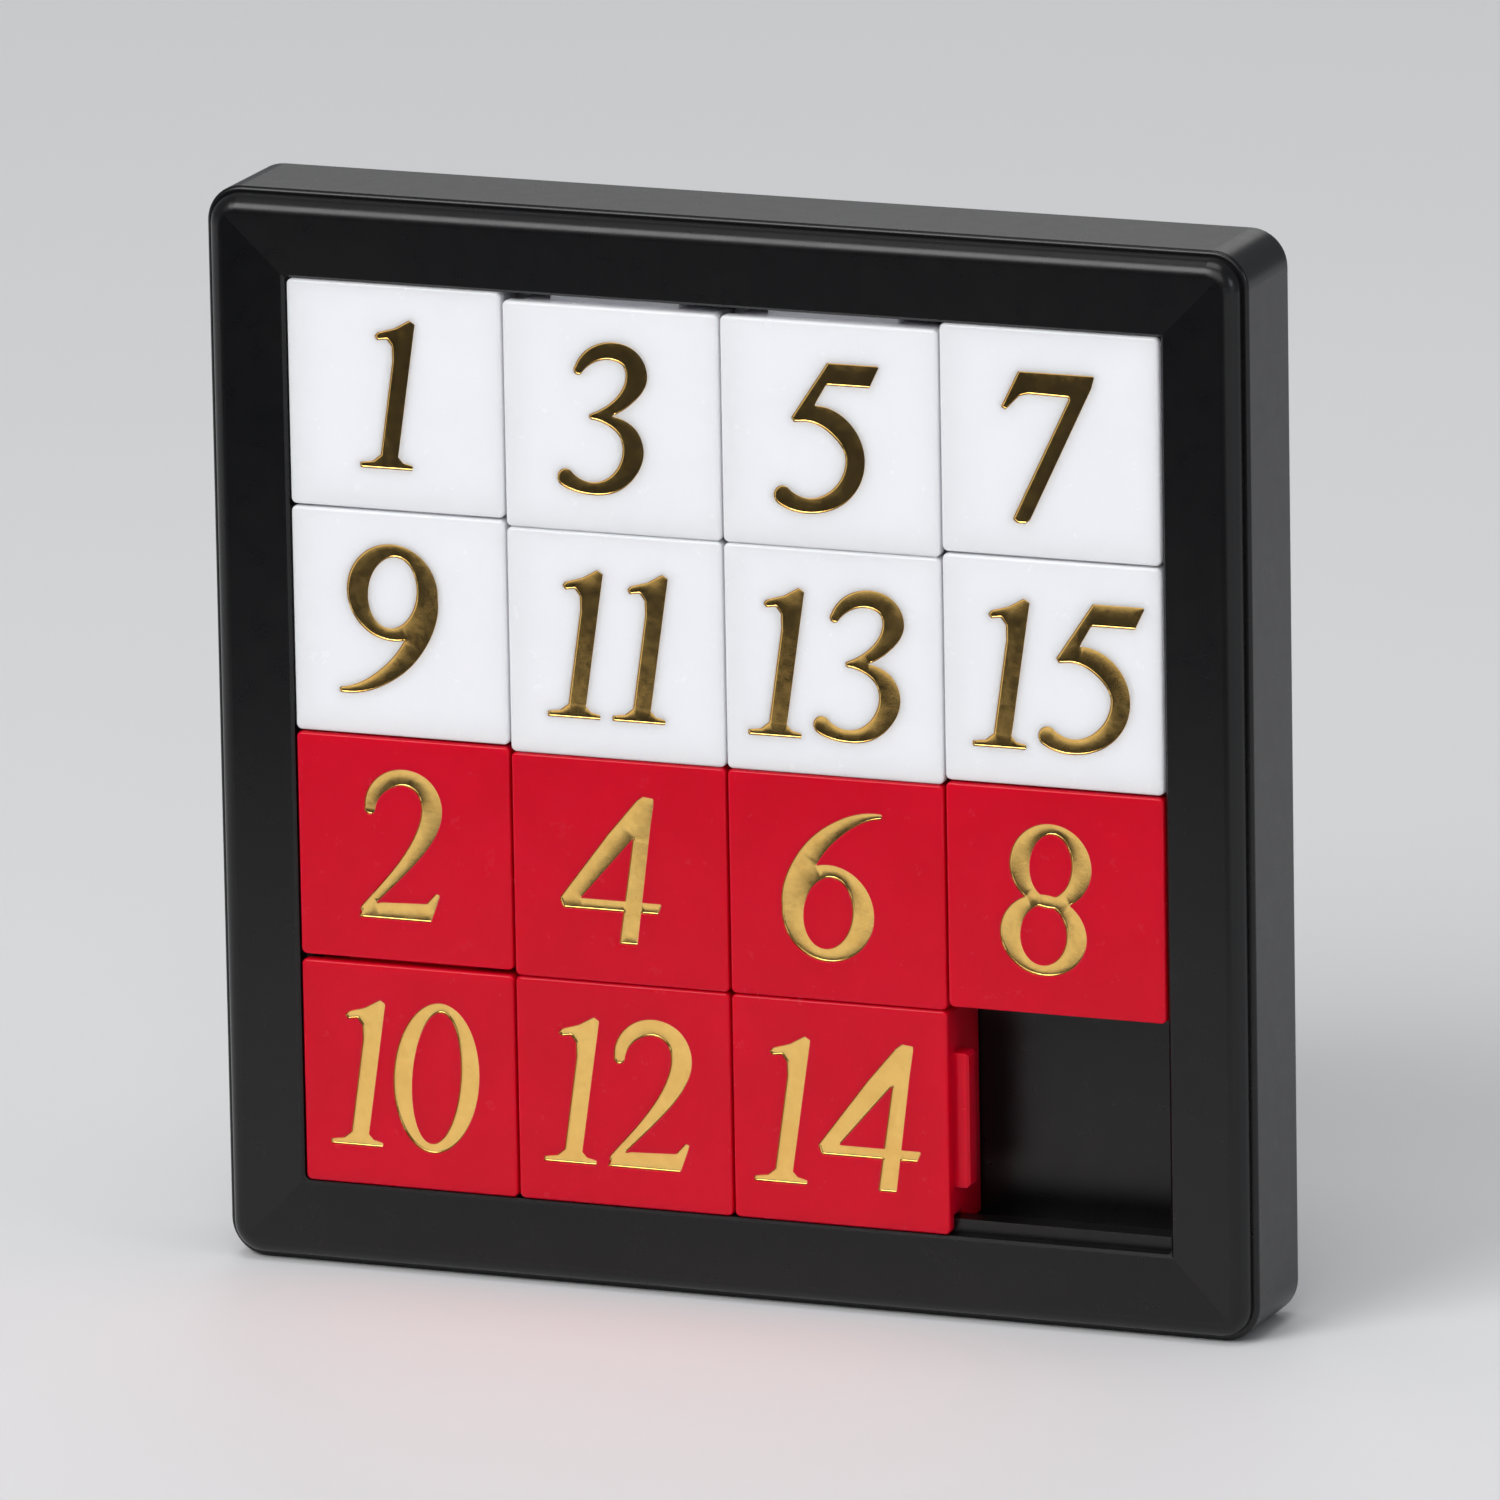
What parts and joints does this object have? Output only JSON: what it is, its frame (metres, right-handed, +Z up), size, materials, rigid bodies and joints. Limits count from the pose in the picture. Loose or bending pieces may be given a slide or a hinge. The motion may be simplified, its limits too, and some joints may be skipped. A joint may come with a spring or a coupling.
{
  "type": "sliding tile puzzle",
  "caption": "Square sliding number puzzle: interlocking tiles with stamped numerals and one blank cell, captive in a shallow two-part frame.",
  "frame": {"origin": "middle of the bottom edge's underside: centre of the width, and of the thickness, at the lowest point of the standing puzzle", "axes": "+X to the right along the rows as seen from the front, +Z up towards the top row, tile faces towards -Y"},
  "size_m": [0.0762, 0.0098, 0.0762],
  "materials": {
    "black_plastic": "satin black moulded plastic with a fine texture",
    "white_plastic": "smooth semi-gloss white moulded plastic",
    "red_plastic": "smooth semi-gloss red moulded plastic",
    "gold_foil": "hot-stamped gold foil, polished"
  },
  "bodies": {
    "frame": {"front_frame": "black_plastic", "rear_shell": "black_plastic"},
    "tile_01": {"tile_01": "white_plastic", "numeral_01": "gold_foil"},
    "tile_02": {"tile_02": "red_plastic", "numeral_02": "gold_foil"},
    "tile_03": {"tile_03": "white_plastic", "numeral_03": "gold_foil"},
    "tile_04": {"tile_04": "red_plastic", "numeral_04": "gold_foil"},
    "tile_05": {"tile_05": "white_plastic", "numeral_05": "gold_foil"},
    "tile_06": {"tile_06": "red_plastic", "numeral_06": "gold_foil"},
    "tile_07": {"tile_07": "white_plastic", "numeral_07": "gold_foil"},
    "tile_08": {"tile_08": "red_plastic", "numeral_08": "gold_foil"},
    "tile_09": {"tile_09": "white_plastic", "numeral_09": "gold_foil"},
    "tile_10": {"tile_10": "red_plastic", "numeral_10_tens": "gold_foil", "numeral_10_units": "gold_foil"},
    "tile_11": {"tile_11": "white_plastic", "numeral_11_tens": "gold_foil", "numeral_11_units": "gold_foil"},
    "tile_12": {"tile_12": "red_plastic", "numeral_12_tens": "gold_foil", "numeral_12_units": "gold_foil"},
    "tile_13": {"tile_13": "white_plastic", "numeral_13_tens": "gold_foil", "numeral_13_units": "gold_foil"},
    "tile_14": {"tile_14": "red_plastic", "numeral_14_tens": "gold_foil", "numeral_14_units": "gold_foil"},
    "tile_15": {"tile_15": "white_plastic", "numeral_15_tens": "gold_foil", "numeral_15_units": "gold_foil"}
  },
  "joints": [
    {"name": "bottom_row_push", "type": "slide", "parent": "frame", "child": "tile_14", "axis": [1, 0, 0], "range_m": [0, 0.016]},
    {"name": "bottom_row_push_tile_12", "type": "slide", "parent": "frame", "child": "tile_12", "axis": [1, 0, 0], "range_m": [0, 0.016]},
    {"name": "bottom_row_push_tile_10", "type": "slide", "parent": "frame", "child": "tile_10", "axis": [1, 0, 0], "range_m": [0, 0.016]},
    {"name": "right_column_push", "type": "slide", "parent": "frame", "child": "tile_08", "axis": [0, 0, 1], "range_m": [-0.0162, 0]},
    {"name": "right_column_push_tile_15", "type": "slide", "parent": "frame", "child": "tile_15", "axis": [0, 0, 1], "range_m": [-0.0162, 0]},
    {"name": "right_column_push_tile_07", "type": "slide", "parent": "frame", "child": "tile_07", "axis": [0, 0, 1], "range_m": [-0.0162, 0]},
    {"name": "stack_1_drop", "type": "slide", "parent": "frame", "child": "tile_02", "axis": [0, 0, 1], "range_m": [-0.0003, 0]},
    {"name": "stack_1_drop_tile_09", "type": "slide", "parent": "frame", "child": "tile_09", "axis": [0, 0, 1], "range_m": [-0.0003, 0]},
    {"name": "stack_1_drop_tile_01", "type": "slide", "parent": "frame", "child": "tile_01", "axis": [0, 0, 1], "range_m": [-0.0003, 0]},
    {"name": "stack_2_lift", "type": "slide", "parent": "frame", "child": "tile_04", "axis": [0, 0, 1], "range_m": [0, 0.0005]},
    {"name": "stack_2_lift_tile_11", "type": "slide", "parent": "frame", "child": "tile_11", "axis": [0, 0, 1], "range_m": [0, 0.0005]},
    {"name": "stack_2_lift_tile_03", "type": "slide", "parent": "frame", "child": "tile_03", "axis": [0, 0, 1], "range_m": [0, 0.0005]},
    {"name": "stack_3_lift", "type": "slide", "parent": "frame", "child": "tile_06", "axis": [0, 0, 1], "range_m": [0, 0.0005]},
    {"name": "stack_3_lift_tile_13", "type": "slide", "parent": "frame", "child": "tile_13", "axis": [0, 0, 1], "range_m": [0, 0.0005]},
    {"name": "stack_3_lift_tile_05", "type": "slide", "parent": "frame", "child": "tile_05", "axis": [0, 0, 1], "range_m": [0, 0.0005]}
  ],
  "couplings": [
    {"joint": "bottom_row_push_tile_12", "follows": "bottom_row_push", "ratio": 1},
    {"joint": "bottom_row_push_tile_10", "follows": "bottom_row_push", "ratio": 1},
    {"joint": "right_column_push_tile_15", "follows": "right_column_push", "ratio": 1},
    {"joint": "right_column_push_tile_07", "follows": "right_column_push", "ratio": 1},
    {"joint": "stack_1_drop_tile_09", "follows": "stack_1_drop", "ratio": 1},
    {"joint": "stack_1_drop_tile_01", "follows": "stack_1_drop", "ratio": 1},
    {"joint": "stack_2_lift_tile_11", "follows": "stack_2_lift", "ratio": 1},
    {"joint": "stack_2_lift_tile_03", "follows": "stack_2_lift", "ratio": 1},
    {"joint": "stack_3_lift_tile_13", "follows": "stack_3_lift", "ratio": 1},
    {"joint": "stack_3_lift_tile_05", "follows": "stack_3_lift", "ratio": 1}
  ]
}
